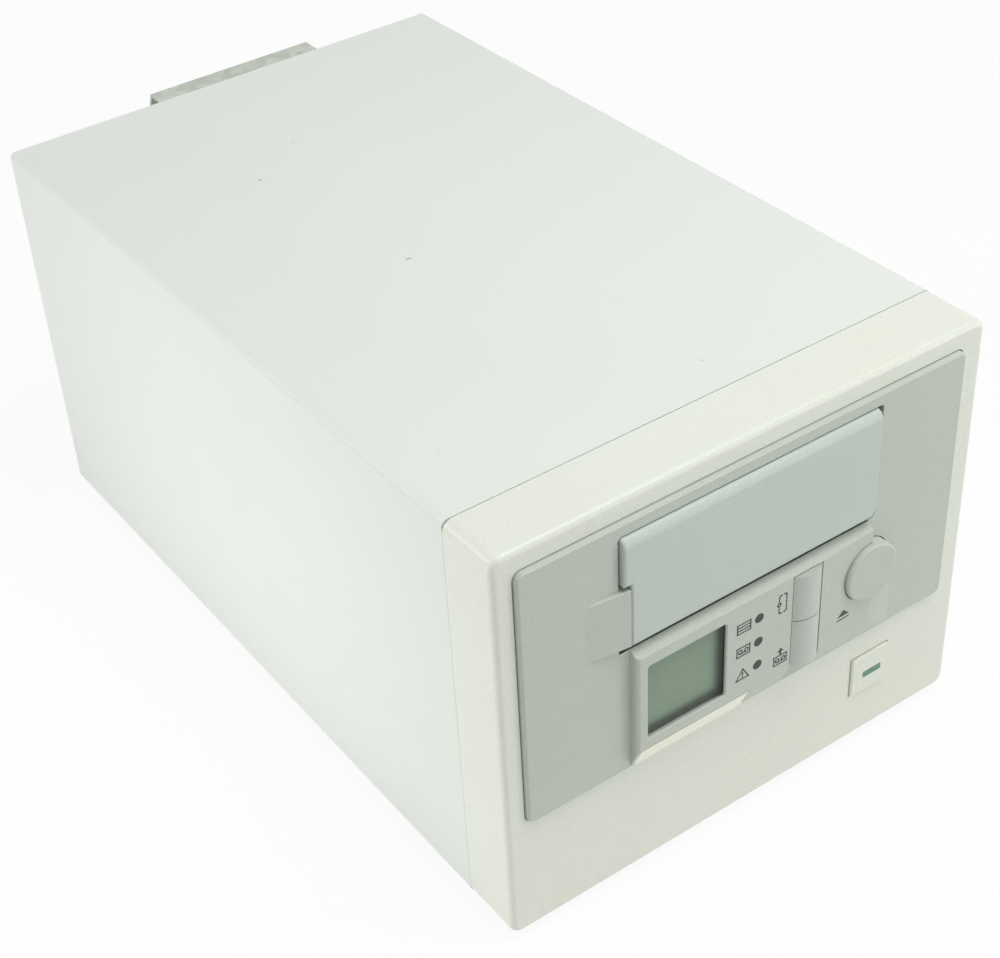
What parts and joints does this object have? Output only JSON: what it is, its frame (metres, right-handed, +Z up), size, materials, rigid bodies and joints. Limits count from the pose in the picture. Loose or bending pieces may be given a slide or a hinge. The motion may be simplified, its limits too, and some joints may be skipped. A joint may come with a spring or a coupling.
{
  "type": "tape autoloader",
  "caption": "Desktop tape autoloader: steel sleeve, moulded bezel, grey fascia with a lift-up magazine flap, display, keys, and a magazine lift inside.",
  "frame": {"origin": "middle of the bounding box at floor level, under the rubber feet", "axes": "+X to the right seen from the front, +Y to the rear, +Z up; the bezel faces -Y"},
  "size_m": [0.1628, 0.296, 0.1343],
  "materials": {
    "case_paint": "satin powder coat",
    "bezel_plastic": "fine texture",
    "grey_plastic": "fine texture",
    "door_plastic": "fine texture",
    "key_plastic": "fine texture",
    "cream_plastic": "smooth",
    "dark_plastic": "smooth",
    "smoke_plastic": "polished",
    "green_lens": "polished",
    "clear_window": "polished",
    "display_green": "polished",
    "galvanised": "zinc coated",
    "steel": "zinc coated",
    "pin_steel": "bright",
    "alloy": "mill finish",
    "contact_brass": "plated",
    "board_green": "solder mask",
    "rubber_black": "matt",
    "tape_shell": "fine texture",
    "magazine_plastic": "fine texture",
    "core_iron": "lacquered",
    "can_blue": "sleeved"
  },
  "bodies": {
    "case": {"sleeve_cover": "case_paint", "rubber_feet": "rubber_black", "base_tray": "galvanised", "loader_brackets": "galvanised", "front_bezel": "bezel_plastic", "power_switch": "dark_plastic", "fascia": "grey_plastic", "door_pins": "pin_steel", "display_window": "clear_window", "display_glass": "display_green", "display_module": "dark_plastic", "display_sill": "cream_plastic", "indicator_lights": "smoke_plastic", "key_switches": "dark_plastic", "control_board": "board_green", "loader_frame": "steel", "lift_motor": "steel", "guide_rod": "pin_steel", "tape_deck": "alloy", "deck_posts": "pin_steel", "main_board": "board_green", "main_posts": "contact_brass", "main_chips": "dark_plastic", "supply_board": "board_green", "supply_posts": "contact_brass", "supply_transformer": "core_iron", "supply_capacitors": "can_blue", "supply_heatsink": "alloy", "rear_panel": "case_paint", "rear_hood": "galvanised", "fan_frame": "dark_plastic", "power_inlet": "dark_plastic", "inlet_pins": "contact_brass", "bus_shells": "steel", "bus_inserts": "dark_plastic", "id_switch_body": "dark_plastic"},
    "door": {"magazine_door": "door_plastic"},
    "select_key_body": {"select_key": "key_plastic"},
    "load_key_body": {"load_key": "key_plastic"},
    "eject_body": {"eject_button": "key_plastic"},
    "power_key_body": {"power_button": "bezel_plastic", "power_light": "green_lens"},
    "lift_body": {"lift_carriage": "alloy", "magazine": "magazine_plastic", "cartridges": "tape_shell"},
    "screw_body": {"lift_screw": "pin_steel"},
    "rotor_body": {"fan_rotor": "dark_plastic"},
    "id_wheel_body": {"id_wheel": "cream_plastic"},
    "id_up_body": {"id_up_button": "cream_plastic"},
    "id_down_body": {"id_down_button": "cream_plastic"}
  },
  "joints": [
    {"name": "flap_hinge", "type": "hinge", "parent": "case", "child": "door", "pos_m": [0, -0.14235, 0.1209], "axis": [-1, 0, 0], "range_deg": [0, 100]},
    {"name": "select_press", "type": "slide", "parent": "case", "child": "select_key_body", "axis": [0, 1, 0], "range_m": [0, 0.0012], "stiffness_N_per_m": 300, "springref_m": -0.0005},
    {"name": "load_press", "type": "slide", "parent": "case", "child": "load_key_body", "axis": [0, 1, 0], "range_m": [0, 0.0012], "stiffness_N_per_m": 300, "springref_m": -0.0005},
    {"name": "eject_press", "type": "slide", "parent": "case", "child": "eject_body", "axis": [0, 1, 0], "range_m": [0, 0.0015], "stiffness_N_per_m": 300, "springref_m": -0.0005},
    {"name": "power_press", "type": "slide", "parent": "case", "child": "power_key_body", "axis": [0, 1, 0], "range_m": [0, 0.003], "stiffness_N_per_m": 300, "springref_m": -0.0005},
    {"name": "magazine_lift", "type": "slide", "parent": "case", "child": "lift_body", "axis": [0, 0, 1], "range_m": [-0.0224, 0]},
    {"name": "screw_turn", "type": "hinge", "parent": "case", "child": "screw_body", "pos_m": [-0.058, -0.07175, 0.063], "axis": [0, 0, 1], "range_deg": [0, 1010]},
    {"name": "fan_spin", "type": "hinge", "parent": "case", "child": "rotor_body", "pos_m": [0.00925, 0.10825, 0.093], "axis": [0, 1, 0], "continuous": true},
    {"name": "id_wheel_turn", "type": "hinge", "parent": "case", "child": "id_wheel_body", "pos_m": [-0.0485, 0.11625, 0.113], "axis": [1, 0, 0], "continuous": true},
    {"name": "id_up_press", "type": "slide", "parent": "case", "child": "id_up_body", "axis": [0, -1, 0], "range_m": [0, 0.0012], "stiffness_N_per_m": 200, "springref_m": -0.0005},
    {"name": "id_down_press", "type": "slide", "parent": "case", "child": "id_down_body", "axis": [0, -1, 0], "range_m": [0, 0.0012], "stiffness_N_per_m": 200, "springref_m": -0.0005}
  ],
  "couplings": [
    {"joint": "screw_turn", "follows": "magazine_lift", "rad_per_m": -785.4}
  ]
}
